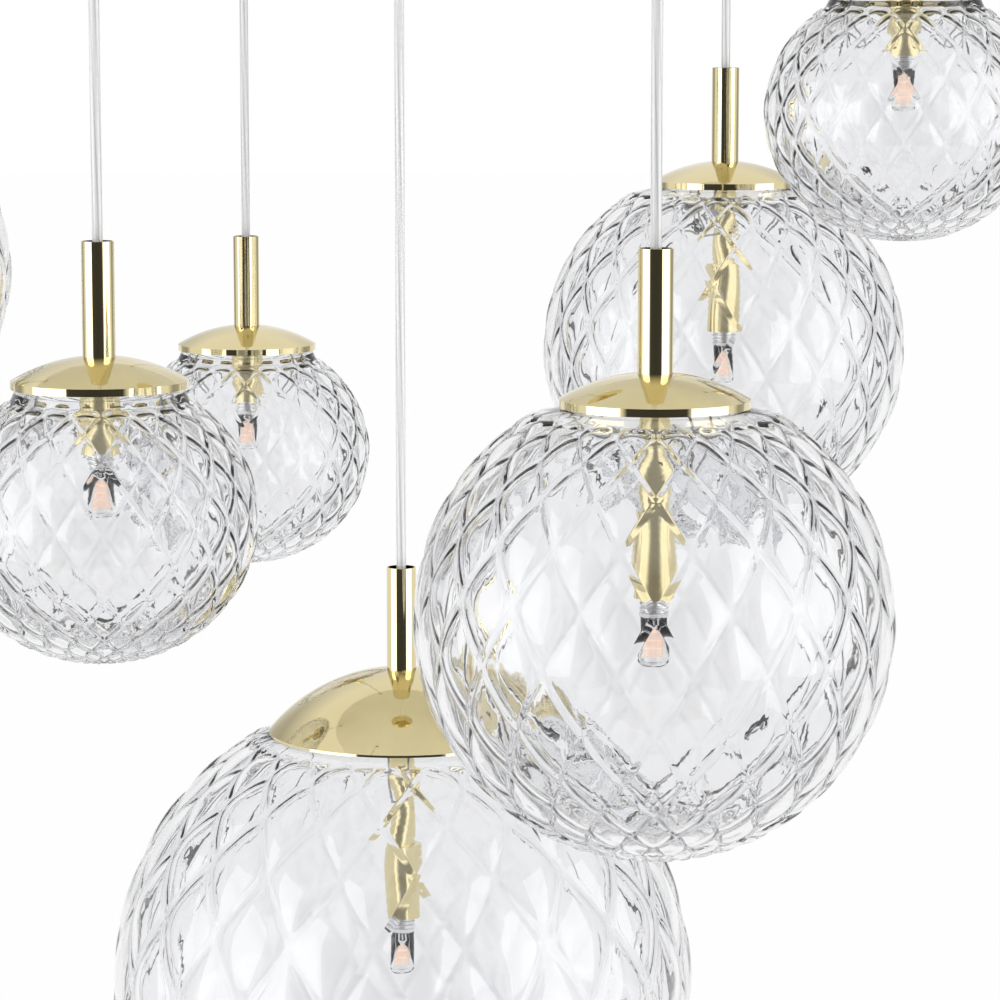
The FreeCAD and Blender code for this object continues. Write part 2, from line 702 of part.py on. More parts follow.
def glass_clip(size):
    """Three-armed spider, its nut and the three wire springs."""
    top = size.spider_top
    spider = cylinder(hub_radius(), top - SPIDER_THICKNESS, top)
    springs = []
    for k in range(SPRING_COUNT):
        turn = 360 * k / SPRING_COUNT
        arm = spider_arm(size)
        arm.rotate(Vector(), UP, turn)
        spider = spider.fuse(arm)
        wire = spring(size)
        wire.rotate(Vector(), UP, turn)
        springs.append(wire)
    bore = cylinder(SPIGOT_RADIUS + HOLE_CLEARANCE, top - SPIDER_THICKNESS - 1, top + 1)
    spider = spider.cut(bore).removeSplitter()
    corner = NUT_ACROSS_FLATS / math.sqrt(3)
    corners = []
    for k in range(6):
        angle = math.radians(60 * k)
        corners.append(Vector(corner * math.cos(angle), corner * math.sin(angle), size.sleeve_top))
    nut = facet(*corners).extrude(Vector(0, 0, NUT_HEIGHT))
    nut = nut.cut(cylinder(SPIGOT_RADIUS + THREAD_CLEARANCE, size.sleeve_top - 1, top))
    return Part.makeCompound([spider, nut] + springs)


def placed(shape, x, y, z, turn=0.0):
    """A copy of a shape, turned about Z and moved to its place."""
    copy = shape.copy()
    copy.rotate(Vector(), UP, turn)
    copy.translate(Vector(x, y, z))
    return copy


def build():
    """Every node of the assembly, by name."""
    nodes = {
        "canopy": canopy(),
        "ceiling_bracket": Part.makeCompound(
            [ceiling_bracket(), terminal_block()] + [placed(boss(), x, y, 0) for x, y in outlets()]
        ),
        "centre_plate": centre_plate(),
        "cord_grips": Part.makeCompound(
            [placed(cord_grip(size), x, y, 0) for x, y, _, size, _, _ in PENDANTS.values()]
        ),
    }
    makers = {
        "stem": stem,
        "cap": cap,
        "glass_clip": glass_clip,
        "sleeve": sleeve,
        "lampholder": lampholder,
        "bulb": bulb,
        "globe": globe,
    }
    stock = {}
    for name, size in SIZES.items():
        stock[name] = {part: make(size) for part, make in makers.items()}
    for name, (x, y, z, size, clip_turn, relief_turn) in PENDANTS.items():
        turns = {"glass_clip": clip_turn, "globe": relief_turn}
        nodes[name + "_cord"] = placed(cord(SIZES[size], hinge_height(size) - z), x, y, z)
        for part, shape in stock[size].items():
            nodes[name + "_" + part] = placed(shape, x, y, z, turns.get(part, 0.0))
    return nodes


os.makedirs("parts", exist_ok=True)
for node, shape in build().items():
    shape.exportStep("parts/" + node + ".step")
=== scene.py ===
"""Looks of the cluster pendant: relief glass, brass fittings, clear cords and LED capsules."""

import json
import math

import bpy
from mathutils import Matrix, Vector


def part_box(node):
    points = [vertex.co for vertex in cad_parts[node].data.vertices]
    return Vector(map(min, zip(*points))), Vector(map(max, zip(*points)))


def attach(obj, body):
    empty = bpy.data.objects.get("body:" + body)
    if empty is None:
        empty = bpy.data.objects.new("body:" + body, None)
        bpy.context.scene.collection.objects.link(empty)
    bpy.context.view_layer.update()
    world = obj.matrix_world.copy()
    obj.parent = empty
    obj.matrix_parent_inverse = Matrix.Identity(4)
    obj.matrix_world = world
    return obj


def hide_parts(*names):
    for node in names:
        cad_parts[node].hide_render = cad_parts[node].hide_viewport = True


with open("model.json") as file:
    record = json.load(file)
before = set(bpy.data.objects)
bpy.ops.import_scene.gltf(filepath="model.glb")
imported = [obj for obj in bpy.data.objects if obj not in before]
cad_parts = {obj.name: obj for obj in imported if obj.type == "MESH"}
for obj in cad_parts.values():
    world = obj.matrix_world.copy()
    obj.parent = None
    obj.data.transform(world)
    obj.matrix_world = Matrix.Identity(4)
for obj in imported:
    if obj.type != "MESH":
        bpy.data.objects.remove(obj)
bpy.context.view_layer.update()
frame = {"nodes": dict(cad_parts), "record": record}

MM = 0.001

# Camera of a square picture: level with a point a little below the ceiling, tilted down.
CAMERA_PLACE = (0.067, -2.413, -0.220)
CAMERA_TILT = math.radians(7.907)
CAMERA_LENS = 129.6
CAMERA_SENSOR = 36.0
CAMERA_REACH = 200.0

# Floor, in metres: it ends a little behind the camera, so that no stem reflects it there.
FLOOR_HEIGHT = -1.75
FLOOR_SIDE = 9.0
FLOOR_FRONT = -2.6
FLOOR_BACK = 30.0
FLOOR_GLOW = 0.985

# Lamps: name, place, target and size in metres, power in watts, and whether metal shows it.
LAMPS = (
    ("left_box", (-2.3, -1.3, -0.1), (0, 0, -0.5), (2.4, 2.6), 40, True),
    ("right_box", (2.3, -1.2, -0.1), (0, 0, -0.5), (2.4, 2.6), 40, True),
    ("floor_bounce", (0, -0.2, -1.7), (0, -0.2, 0), (3, 3), 23, False),
)

# Brightness of the room by azimuth: 0 is towards the camera, 1 is straight away from it.
WALL_IN_METAL = (
    (0.0, 0.05),
    (0.2, 0.06),
    (0.24, 1.0),
    (0.58, 1.0),
    (0.64, 0.4),
    (0.85, 0.55),
    (1.0, 0.95),
)
WALL_THROUGH_GLASS = ((0.0, 0.3), (0.11, 0.36), (0.17, 1.0), (1.0, 1.0))
SIDE_BOXES = ((0.17, 0.0), (0.21, 1.0), (0.5, 1.0), (0.56, 0.0))
SIDE_BOX_GAIN = 0.8
ROOM_LIGHT = 0.4
# Share of the ceiling by height: 0.5 is level and 1 is straight up.
OVERHEAD = ((0.66, 0.0), (0.82, 1.0))
CEILING_IN_METAL = 1.0
CEILING_THROUGH_GLASS = 0.95

# Pendant name: size and turn of its relief in degrees.
PENDANTS = {
    "left": ("small", -2.0),
    "back_left": ("small", 3.0),
    "front": ("medium", -2.0),
    "centre": ("large", 5.0),
    "back_right": ("medium", 1.0),
    "right": ("small", 12.0),
    "far_left": ("medium", 9.0),
}

# Measures of each globe in millimetres from the cap's lower edge, as the solids have them.
NECK_RADII = {"small": 51.0, "medium": 51.0, "large": 87.5}
BALL_RADII = {"small": 95.0, "medium": 135.0, "large": 197.0}
BALL_HALF_HEIGHTS = {"small": 88.0, "medium": 135.0, "large": 197.0}
SHOULDER_WIDTHS = {"small": 3.5, "medium": 16.5, "large": 12.5}
SHOULDER_DROPS = {"small": 8.0, "medium": 4.4, "large": 4.4}
GLASS_WALL = 4.0
NECK_RISE = 1.8
NECK_MIDDLE = 0.4
NECK_BASE = 0.6
# Small slope between the neck's bore and the inside of the ball.
BORE_SLOPE_WIDTH = 1.0
BORE_SLOPE_RISE = 0.8
BORE_SLOPE_DROP = 0.3

# Relief: diamonds around, height of a lattice row in mercator units, swell of a diamond.
DIAMONDS_AROUND = 20
DIAMOND_HEIGHT_TO_WIDTH = 1.67
ROW_STEP = math.pi / DIAMONDS_AROUND * DIAMOND_HEIGHT_TO_WIDTH
RELIEF_BELOW_SHOULDER = {"small": 12.4, "medium": 2.9, "large": 8.7}
RELIEF_DEPTH = {"small": 2.1, "medium": 3.0, "large": 4.3}
INNER_SHARE = 1.0
RELIEF_POWER = 3.0
SUNK_SHARE = 0.45
FADE_BELOW_SHOULDER = 0.05
FADE_ABOVE_POLE = 20.0
POLE_BUTTON = 6.0

# Painted shade along each valley, standing in for the darker refraction seen there, as shares of a
# diamond; it fades out before a crossing.
VALLEY_SHADE_WIDTH = 0.09
VALLEY_SHADE_END = 0.9
VALLEY_SHADE_FADE = 0.15

# Mesh of a globe: cells along half a diamond's width, strips of the plain shoulder, and the
# least height of the first row of cells as a share of a cell.
CELLS = {"small": 6, "medium": 7, "large": 7}
SHOULDER_STRIPS = 5
FIRST_CELL_SHARE = 0.3

# Cord: cores, their twist over its length in radians, and the look of their lines.
CORD_CORES = 3.0
CORD_TWIST = 60.0
CORD_LINE_POWER = 6.0
CORD_LINE_SHARE = 0.55
CORD_POINTS = 5

# Bulb in millimetres: base with its grooves and pins, capsule, and board with its chips.
BASE_RADIUS = 9.0
BASE_LENGTH = 16.0
BASE_TOP_EDGE = 0.6
BASE_COLLAR = 5.2
BASE_FOOT_INSET = 0.4
BASE_FOOT_RISE = 0.8
BASE_FOOT_EDGE = 0.6
GROOVES = (-6.0, -8.6, -11.2)
GROOVE_DEPTH = 1.3
GROOVE_WIDTH = 1.8
GROOVE_SLOPE = 0.7
PIN_LENGTH = 8.0
PIN_WIDTH = 2.6
PIN_THICKNESS = 0.8
PIN_SPACING = 9.0
CAPSULE_RADIUS = 8.0
CAPSULE_LENGTH = 28.0
CAPSULE_WALL = 1.0
CAPSULE_ROUNDING = 2.5
CAPSULE_ROUNDING_STEPS = 8
CAPSULE_TIP_SHARE = 0.35
CAPSULE_TIP_DROP = 0.05
BOARD_SIZE = (10.4, 1.6, 22.0)
BOARD_DROP = 12.5
CHIP_SIZE = (7.6, 1.2, 3.0)
CHIP_OFFSET = 1.2
CHIP_DROP = 4.5
CHIP_SPACING = 4.0
CHIP_ROWS = 5
CHIP_EDGE = 0.3
LATHE_STEPS = 40
# A turned profile ends this far from its axis, and the capsule this far below its base.
HAIR = 0.01


def srgb(code):
    """Linear colour of a hexadecimal sRGB code."""
    values = [int(code[k : k + 2], 16) / 255 for k in (0, 2, 4)]
    linear = [v / 12.92 if v <= 0.04045 else ((v + 0.055) / 1.055) ** 2.4 for v in values]
    return tuple(linear) + (1.0,)


def grey(value):
    return (value, value, value, 1.0)


# ---------------------------------------------------------------- node helpers


def new_material(name):
    material = bpy.data.materials.new(name)
    material.use_nodes = True
    tree = material.node_tree
    return material, tree, tree.nodes["Principled BSDF"], tree.nodes["Material Output"]


def feed(tree, socket, value):
    """Give a socket a plain value or another node's output."""
    if isinstance(value, (int, float, tuple)):
        socket.default_value = value
    else:
        tree.links.new(value, socket)


def math_node(tree, operation, *values):
    made = tree.nodes.new("ShaderNodeMath")
    made.operation = operation
    for socket, value in zip(made.inputs, values):
        feed(tree, socket, value)
    return made.outputs[0]


def ramp(tree, factor, stops):
    """Colour ramp through (position, colour or grey value) stops."""
    made = tree.nodes.new("ShaderNodeValToRGB")
    tree.links.new(factor, made.inputs[0])
    elements = made.color_ramp.elements
    while len(elements) < len(stops):
        elements.new(0.5)
    for element, (position, colour) in zip(elements, stops):
        element.position = position
        element.color = colour if isinstance(colour, tuple) else grey(colour)
    return made.outputs[0]


def mix_colour(tree, factor, first, second):
    made = tree.nodes.new("ShaderNodeMix")
    made.data_type = "RGBA"
    for index, value in ((0, factor), (6, first), (7, second)):
        feed(tree, made.inputs[index], value)
    return made.outputs[2]


def mix_shader(tree, factor, first, second):
    made = tree.nodes.new("ShaderNodeMixShader")
    for socket, value in zip(made.inputs, (factor, first, second)):
        tree.links.new(value, socket)
    return made.outputs[0]


def bump(tree, shader, height, strength, distance):
    made = tree.nodes.new("ShaderNodeBump")
    made.inputs["Strength"].default_value = strength
    made.inputs["Distance"].default_value = distance
    tree.links.new(height, made.inputs["Height"])
    tree.links.new(made.outputs[0], shader.inputs["Normal"])


def noise(tree, coordinates, scale, detail, stretch=None):
    """Noise texture's factor over coordinates, stretched along its axes."""
    if stretch:
        mapping = tree.nodes.new("ShaderNodeMapping")
        mapping.inputs["Scale"].default_value = stretch
        tree.links.new(coordinates, mapping.inputs[0])
        coordinates = mapping.outputs[0]
    made = tree.nodes.new("ShaderNodeTexNoise")
    made.inputs["Scale"].default_value = scale
    made.inputs["Detail"].default_value = detail
    tree.links.new(coordinates, made.inputs["Vector"])
    return made.outputs[0]


def separate(tree, output_name):
    """The three components of a texture coordinate."""
    parts = tree.nodes.new("ShaderNodeSeparateXYZ")
    where = tree.nodes.new("ShaderNodeTexCoord").outputs[output_name]
    tree.links.new(where, parts.inputs[0])
    return parts.outputs


# ---------------------------------------------------------------- materials


def solid_material(name, scale, detail, stops, roughness, metallic=0.0):
    """Opaque material whose colour drifts between tones; returns its nodes for more detail."""
    material, tree, shader, _ = new_material(name)
    where = tree.nodes.new("ShaderNodeTexCoord").outputs["Object"]
    tone = ramp(tree, noise(tree, where, scale, detail), stops)
    tree.links.new(tone, shader.inputs["Base Color"])
    shader.inputs["Roughness"].default_value = roughness
    shader.inputs["Metallic"].default_value = metallic
    return material, tree, shader, where


def brass():
    """Polished brass with faint marks of the spinning lathe."""
    stops = ((0.3, srgb("DCCE9E")), (0.7, srgb("E2D5AA")))
    material, tree, shader, where = solid_material("satin_brass", 14.0, 4.0, stops, 0.06, 1.0)
    spin_marks = noise(tree, where, 900.0, 2.0, (0.04, 0.04, 3.0))
    rough = ramp(tree, spin_marks, ((0.3, 0.03), (0.8, 0.09)))
    tree.links.new(rough, shader.inputs["Roughness"])
    bump(tree, shader, spin_marks, 0.01, 0.0002)
    return material


def zinc():
    stops = ((0.35, 0.34), (0.7, 0.47))
    return solid_material("zinc_steel", 60.0, 5.0, stops, 0.42, 1.0)[0]


def white_paint():
    stops = ((0.3, srgb("EDEDEB")), (0.7, srgb("F3F3F1")))
    material, tree, shader, where = solid_material("white_paint", 6.0, 3.0, stops, 0.5)
    bump(tree, shader, noise(tree, where, 700.0, 2.0), 0.12, 0.0003)
    return material


def ceramic():
    stops = ((0.3, srgb("E4E0D6")), (0.7, srgb("F0EDE6")))
    return solid_material("ceramic", 300.0, 3.0, stops, 0.38)[0]


def polished_steel():
    stops = ((0.35, 0.72), (0.7, 0.84))
    return solid_material("polished_steel", 90.0, 4.0, stops, 0.24, 1.0)[0]


def phosphor():
    stops = ((0.3, srgb("FFE4D2")), (0.7, srgb("FFF0E6")))
    material, _, shader, _ = solid_material("phosphor", 500.0, 3.0, stops, 0.55)
    shader.inputs["Emission Color"].default_value = srgb("FFD9BC")
    shader.inputs["Emission Strength"].default_value = 0.25
    return material


def clear_material(name, index_of_refraction, shadow_tint):
    """Clear glass; lamps reach what is inside it."""
    material, tree, shader, output = new_material(name)
    shader.inputs["Roughness"].default_value = 0.0
    shader.inputs["IOR"].default_value = index_of_refraction
    shader.inputs["Transmission Weight"].default_value = 1.0
    shadow = tree.nodes.new("ShaderNodeLightPath").outputs["Is Shadow Ray"]
    clear = tree.nodes.new("ShaderNodeBsdfTransparent")
    clear.inputs["Color"].default_value = shadow_tint
    surface = mix_shader(tree, shadow, shader.outputs[0], clear.outputs[0])
    tree.links.new(surface, output.inputs["Surface"])
    return material, tree, shader


def globe_glass():
    """Glass of the globes, with painted shade along the valleys of the relief: a darker, bluer
    tint that stands in for refraction.
    """
    material, tree, shader = clear_material("clear_glass", 1.47, (0.93, 0.93, 0.94, 1))
    valley = tree.nodes.new("ShaderNodeAttribute")
    valley.attribute_name = "valley"
    # The first stop is the glass's own tint; the second is painted shade in the valleys, standing
    # in for refraction.
    stops = ((0.0, (0.918, 0.92, 0.928, 1)), (1.0, (0.82, 0.83, 0.855, 1)))
    tone = ramp(tree, valley.outputs["Fac"], stops)
    tree.links.new(tone, shader.inputs["Base Color"])
    return material


def capsule_glass():
    material, _, shader = clear_material("lamp_glass", 1.42, (0.96, 0.96, 0.96, 1))
    shader.inputs["Base Color"].default_value = (0.97, 0.97, 0.97, 1)
    return material


def cord_plastic():
    """Clear jacket over the twisted cores, which show as fine grey lines."""
    material, tree, shader, _ = new_material("clear_cord")
    parts = separate(tree, "Generated")
    x = math_node(tree, "SUBTRACT", parts[0], 0.5)
    y = math_node(tree, "SUBTRACT", parts[1], 0.5)
    around = math_node(tree, "MULTIPLY", math_node(tree, "ARCTAN2", y, x), CORD_CORES)
    along = math_node(tree, "MULTIPLY", parts[2], CORD_TWIST)
    wave = math_node(tree, "SINE", math_node(tree, "ADD", around, along))
    line = math_node(tree, "POWER", math_node(tree, "ABSOLUTE", wave), CORD_LINE_POWER)
    share = math_node(tree, "MULTIPLY", line, CORD_LINE_SHARE)
    tone = mix_colour(tree, share, srgb("E6E6E6"), srgb("A9A9AC"))
    tree.links.new(tone, shader.inputs["Base Color"])
    shader.inputs["Roughness"].default_value = 0.12
    shader.inputs["Coat Weight"].default_value = 0.6
    shader.inputs["Coat Roughness"].default_value = 0.04
    return material


MATERIALS = {
    "satin_brass": brass(),
    "zinc_steel": zinc(),
    "white_paint": white_paint(),
    "ceramic": ceramic(),
    "clear_glass": globe_glass(),
    "lamp_glass": capsule_glass(),
    "clear_cord": cord_plastic(),
    "phosphor": phosphor(),
    "polished_steel": polished_steel(),
}


def dress_cad_nodes():
    """Every solid that stays in view takes its slot's material."""
    slots = {part["node"]: part["material_slot"] for part in frame["record"]["subparts"]}
    for name, solid in frame["nodes"].items():
        solid.data.materials.clear()
        solid.data.materials.append(MATERIALS[slots[name]])


# ---------------------------------------------------------------- mesh helpers


def link_object(name, data):
    thing = bpy.data.objects.new(name, data)
    bpy.context.scene.collection.objects.link(thing)
    return thing


def add_mesh(name, vertices, faces, material, smooth=True):
    mesh = bpy.data.meshes.new(name)
    mesh.from_pydata(vertices, [], faces)
    mesh.update()
    mesh.materials.append(material)
    if smooth:
        mesh.shade_smooth()
    return link_object(name, mesh)


def claim(piece, body, node):
    """Let a piece ride on a body and stand for a node, whose solid is hidden."""
    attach(piece, body)
    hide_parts(node)


def box_axis(node):
    """A node's lowest and highest corners, and the x and y of its middle."""
    low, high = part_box(node)
    return low, high, (low[0] + high[0]) / 2, (low[1] + high[1]) / 2


def lathe(profile, centre):
    """Vertices and faces of a profile of (radius, height) in mm turned about a vertical axis."""
    x0, y0, z0 = centre
    vertices = []
    faces = []
    for radius, height in profile:
        r, z = radius * MM, z0 + height * MM
        for k in range(LATHE_STEPS):
            angle = 2 * math.pi * k / LATHE_STEPS
            vertices.append((x0 + r * math.sin(angle), y0 - r * math.cos(angle), z))
    for row in range(len(profile) - 1):
        a, b = row * LATHE_STEPS, (row + 1) * LATHE_STEPS
        for k in range(LATHE_STEPS):
            n = (k + 1) % LATHE_STEPS
            faces.append((a + k, b + k, b + n, a + n))
    return vertices, faces


def add_block(vertices, faces, centre, size):
    """Append a block with its centre in metres and its size in mm to a mesh in the making."""
    start = len(vertices)
    x, y, z = centre
    a, b, c = (s * MM / 2 for s in size)
    ends = (-1, 1)
    vertices += [(x + i * a, y + j * b, z + k * c) for i in ends for j in ends for k in ends]
    sides = [(0, 1, 3, 2), (4, 6, 7, 5), (0, 4, 5, 1), (2, 3, 7, 6), (0, 2, 6, 4), (1, 5, 7, 3)]
    faces += [tuple(start + i for i in side) for side in sides]


# ---------------------------------------------------------------- globes


def lattice(longitude, mercator):
    """How near a point is to each family of valleys: 0 in a diamond's middle, 1 in the valley."""
    across = longitude / (2 * math.pi / DIAMONDS_AROUND)
    along = mercator / (2 * ROW_STEP)
    p = (across + along) % 1.0
    q = (across - along) % 1.0
    return abs(2 * p - 1), abs(2 * q - 1)


def pillow(s, t):
    """Swell of a diamond, from 0 in the valleys to 1 in its middle."""
    return (1 - s**RELIEF_POWER) * (1 - t**RELIEF_POWER)


def painted_valley_shade(s, t):
    """Share of painted shade: 1 in a valley and 0 beside it; it stops short of where the valleys
    cross.
    """
    edge, other = max(s, t), min(s, t)
    across = math.exp(-(((1 - edge) / VALLEY_SHADE_WIDTH) ** 2))
    return across * max(0.0, min(1.0, (VALLEY_SHADE_END - other) / VALLEY_SHADE_FADE))


def ball_rows(radius, half, centre, start, first_row, step):
    """Rows of a ball from its start down to the pole: (radius, height, normal, mercator).

    All but the first lie on the relief's lattice.
    """
    top = math.asinh(math.tan(start))
    aligned = first_row + step * math.floor((top - first_row) / step - FIRST_CELL_SHARE)
    last = -math.acosh(radius / POLE_BUTTON)
    count = int((aligned - last) / step) + 1
    rows = []
    for mercator in [top] + [aligned - step * k for k in range(count)]:
        flat = 1 / math.cosh(mercator)
        rise = math.tanh(mercator)
        length = math.hypot(flat / radius, rise / half)
        normal = (flat / radius / length, rise / half / length)
        rows.append((radius * flat, centre + half * rise, normal, mercator))
    return rows


def ball_start(size):
    """Angle above the ball's middle where the shoulder meets it."""
    return math.acos((NECK_RADII[size] + SHOULDER_WIDTHS[size]) / BALL_RADII[size])


def top_row(size):
    """Lattice height of the relief's top row, a little below the plain shoulder."""
    below = RELIEF_BELOW_SHOULDER[size] / BALL_HALF_HEIGHTS[size]
    return math.atanh(math.sin(ball_start(size)) - below)


def globe_outlines(size, first_row):
    """Rows of the outside and of the inside, from the neck's top down, and the ball's height."""
    radius = BALL_RADII[size]
    half = BALL_HALF_HEIGHTS[size]
    neck = NECK_RADII[size]
    width = SHOULDER_WIDTHS[size]
    drop = SHOULDER_DROPS[size]
    step = ROW_STEP / CELLS[size]
    start = ball_start(size)
    centre = -drop - half * math.sin(start)
    level, upright = (1, 0), (0, 1)
    outside = [(neck, height, level, None) for height in (NECK_RISE, NECK_MIDDLE, -NECK_BASE)]
    for k in range(1, SHOULDER_STRIPS):
        share = k / SHOULDER_STRIPS
        height = -NECK_BASE - (drop - NECK_BASE) * share
        outside.append((neck + width * share, height, upright, None))
    outside += ball_rows(radius, half, centre, start, first_row, step)
    bore = neck - GLASS_WALL
    foot = -NECK_BASE - GLASS_WALL
    inside = [
        (bore, NECK_RISE, level, None),
        (bore, foot + BORE_SLOPE_RISE, level, None),
        (bore + BORE_SLOPE_WIDTH, foot - BORE_SLOPE_DROP, level, None),
    ]
    inner_half = half - GLASS_WALL
    inner_start = math.asin((-drop - GLASS_WALL - centre) / inner_half)
    inside += ball_rows(radius - GLASS_WALL, inner_half, centre, inner_start, first_row, step)
    return outside, inside, centre


def skin(rows, steps, depth, first_row, turn):
    """Points of a relief skin about the origin in mm, and how much painted shade each takes along
    a valley.
    """
    points = []
    painted_shades = []
    top = max(row[3] for row in rows if row[3] is not None)
    for radius, height, (out, up), mercator in rows:
        fade = 0.0
        if mercator is not None:
            fade = min(1.0, (top - mercator) / FADE_BELOW_SHOULDER)
            fade *= min(1.0, max(0.0, (radius - POLE_BUTTON) / FADE_ABOVE_POLE))
        for k in range(steps):
            angle = 2 * math.pi * k / steps
            lift = 0.0
            painted_shade = 0.0
            if fade > 0:
                s, t = lattice(angle, mercator - first_row)
                lift = depth * (pillow(s, t) - SUNK_SHARE) * fade
                # Painted shade of the valley at this point, not a mark in the glass.
                painted_shade = painted_valley_shade(s, t) * fade
            r, z = radius + lift * out, height + lift * up
            points.append((r * math.sin(angle + turn), -r * math.cos(angle + turn), z))
            painted_shades.append(painted_shade)
    return points, painted_shades


def skin_faces(rows, steps, base, first_row):
    """Faces between the rows; on the relief each cell is split along the valley nearest to it."""
    faces = []
    for row in range(len(rows) - 1):
        upper, lower = base + row * steps, base + (row + 1) * steps
        high, low = rows[row][3], rows[row + 1][3]
        for k in range(steps):
            n = (k + 1) % steps
            a, b, c, d = upper + k, lower + k, lower + n, upper + n
            if high is None:
                faces.append((a, b, c, d))
                continue
            s, t = lattice(2 * math.pi * (k + 0.5) / steps, (high + low) / 2 - first_row)
            faces += [(a, b, c), (a, c, d)] if s > t else [(a, b, d), (b, c, d)]
    return faces


def globe(name):
    """Glass with an outer and an inner relief skin, joined at the neck's rim."""
    size, degrees = PENDANTS[name]
    first_row = top_row(size)
    turn = math.radians(degrees)
    _, high, x0, y0 = box_axis(name + "_globe")
    z0 = high[2] - NECK_RISE * MM
    steps = 2 * CELLS[size] * DIAMONDS_AROUND
    outside, inside, centre = globe_outlines(size, first_row)
    pole = centre - BALL_HALF_HEIGHTS[size]
    depth = RELIEF_DEPTH[size]
    points, painted_shades, faces, bases = [], [], [], []
    skins = ((outside, depth, pole, False), (inside, depth * INNER_SHARE, pole + GLASS_WALL, True))
    for rows, lift, tip_height, inward in skins:
        base = len(points)
        bases.append(base)
        more_points, more_painted_shades = skin(rows, steps, lift, first_row, turn)
        points += more_points
        # Only the outer skin takes the painted valley shade.
        painted_shades += [0.0] * len(more_painted_shades) if inward else more_painted_shades
        more_faces = skin_faces(rows, steps, base, first_row)
        tip = len(points)
        last = tip - steps
        more_faces += [(last + k, tip, last + (k + 1) % steps) for k in range(steps)]
        faces += [face[::-1] for face in more_faces] if inward else more_faces
        points.append((0, 0, tip_height))
        painted_shades.append(0.0)
    rim, bore_rim = bases
    for k in range(steps):
        n = (k + 1) % steps
        faces.append((bore_rim + n, bore_rim + k, rim + k, rim + n))
    vertices = [(x0 + x * MM, y0 + y * MM, z0 + z * MM) for x, y, z in points]
    thing = add_mesh(name + "_glass_ball", vertices, faces, MATERIALS["clear_glass"])
    # This attribute carries the painted valley shade to the glass material.
    attribute = thing.data.attributes.new("valley", "FLOAT", "POINT")
    attribute.data.foreach_set("value", painted_shades)
    claim(thing, name + "_glass", name + "_globe")


# ---------------------------------------------------------------- cords


def cord(name):
    """Taut cord between the grip and the stem's plug."""
    low, high, x, y = box_axis(name + "_cord")
    length = high[2] - low[2]
    diameter = high[0] - low[0]
    data = bpy.data.curves.new(name + "_flex", "CURVE")
    data.dimensions = "3D"
    data.bevel_depth = diameter / 2
    data.bevel_resolution = 6
    data.use_fill_caps = True
    data.resolution_u = 12
    spline = data.splines.new("NURBS")
    spline.points.add(CORD_POINTS - 1)
    for k, spot in enumerate(spline.points):
        spot.co = (x, y, high[2] - length * k / (CORD_POINTS - 1), 1)
    spline.order_u = 3
    spline.use_endpoint_u = True
    data.materials.append(MATERIALS["clear_cord"])
    thing = link_object(name + "_flex", data)
    claim(thing, name + "_drop", name + "_cord")


# ---------------------------------------------------------------- bulbs


def lamp_base(name, centre):
    """Grooved base with its two flat pins."""
    r = BASE_RADIUS
    foot = -BASE_LENGTH
    profile = [(HAIR, 0), (r - BASE_TOP_EDGE, 0), (r, -BASE_TOP_EDGE), (r, -BASE_COLLAR)]
    for groove in GROOVES:
        floor_top = groove - GROOVE_SLOPE
        floor_end = groove - GROOVE_WIDTH + GROOVE_SLOPE
        profile += [(r, groove), (r - GROOVE_DEPTH, floor_top)]
        profile += [(r - GROOVE_DEPTH, floor_end), (r, groove - GROOVE_WIDTH)]
    profile += [(r - BASE_FOOT_INSET, foot + BASE_FOOT_RISE)]
    profile += [(CAPSULE_RADIUS - BASE_FOOT_EDGE, foot), (HAIR, foot)]
    vertices, faces = lathe(profile, centre)
    x, y, top = centre
    for side in (-1, 1):
        spot = (x + side * PIN_SPACING / 2 * MM, y, top + PIN_LENGTH / 2 * MM)
        add_block(vertices, faces, spot, (PIN_WIDTH, PIN_THICKNESS, PIN_LENGTH))
    steel = MATERIALS["polished_steel"]
    return add_mesh(name + "_lamp_base", vertices, faces, steel, smooth=False)


def lamp_capsule(name, centre):
    """Hollow clear capsule with a rounded tip."""
    r = CAPSULE_RADIUS
    rim = -BASE_LENGTH - HAIR
    end = -BASE_LENGTH - CAPSULE_LENGTH
    rounding = CAPSULE_ROUNDING
    outside = [(r, rim)]
    for k in range(CAPSULE_ROUNDING_STEPS + 1):
        angle = k * math.pi / 2 / CAPSULE_ROUNDING_STEPS
        radius = r - rounding + rounding * math.cos(angle)
        outside.append((radius, end + rounding - rounding * math.sin(angle)))
    tip = end - CAPSULE_TIP_DROP
    outside += [(r * CAPSULE_TIP_SHARE, tip), (HAIR, tip)]
    inside = []
    for radius, height in reversed(outside[1:]):
        inside.append((max(radius - CAPSULE_WALL, HAIR), height + CAPSULE_WALL))
    edge = [(r - CAPSULE_WALL, rim), (r, rim)]
    vertices, faces = lathe(outside + inside + edge, centre)
    return add_mesh(name + "_lamp_capsule", vertices, faces, MATERIALS["lamp_glass"])


def lamp_board(name, centre):
    """Board with rows of chips on both sides."""
    x, y, top = centre
    vertices, faces = [], []
    spot = (x, y, top + (-BASE_LENGTH - BOARD_DROP) * MM)
    add_block(vertices, faces, spot, BOARD_SIZE)
    for row in range(CHIP_ROWS):
        height = top + (-BASE_LENGTH - CHIP_DROP - row * CHIP_SPACING) * MM
        for side in (-1, 1):
            add_block(vertices, faces, (x, y + side * CHIP_OFFSET * MM, height), CHIP_SIZE)
    board = add_mesh(name + "_lamp_board", vertices, faces, MATERIALS["phosphor"], smooth=False)
    bevel = board.modifiers.new("edge", "BEVEL")
    bevel.width = CHIP_EDGE * MM
    return board


def bulb(name):
    _, high, x, y = box_axis(name + "_bulb")
    centre = (x, y, high[2] - PIN_LENGTH * MM)
    for make, slot in (
        (lamp_base, "zinc_steel"),
        (lamp_capsule, "lamp_glass"),
        (lamp_board, "lamp_glass"),
    ):
        claim(make(name, centre), name + "_lamp", name + "_bulb")


# ---------------------------------------------------------------- studio


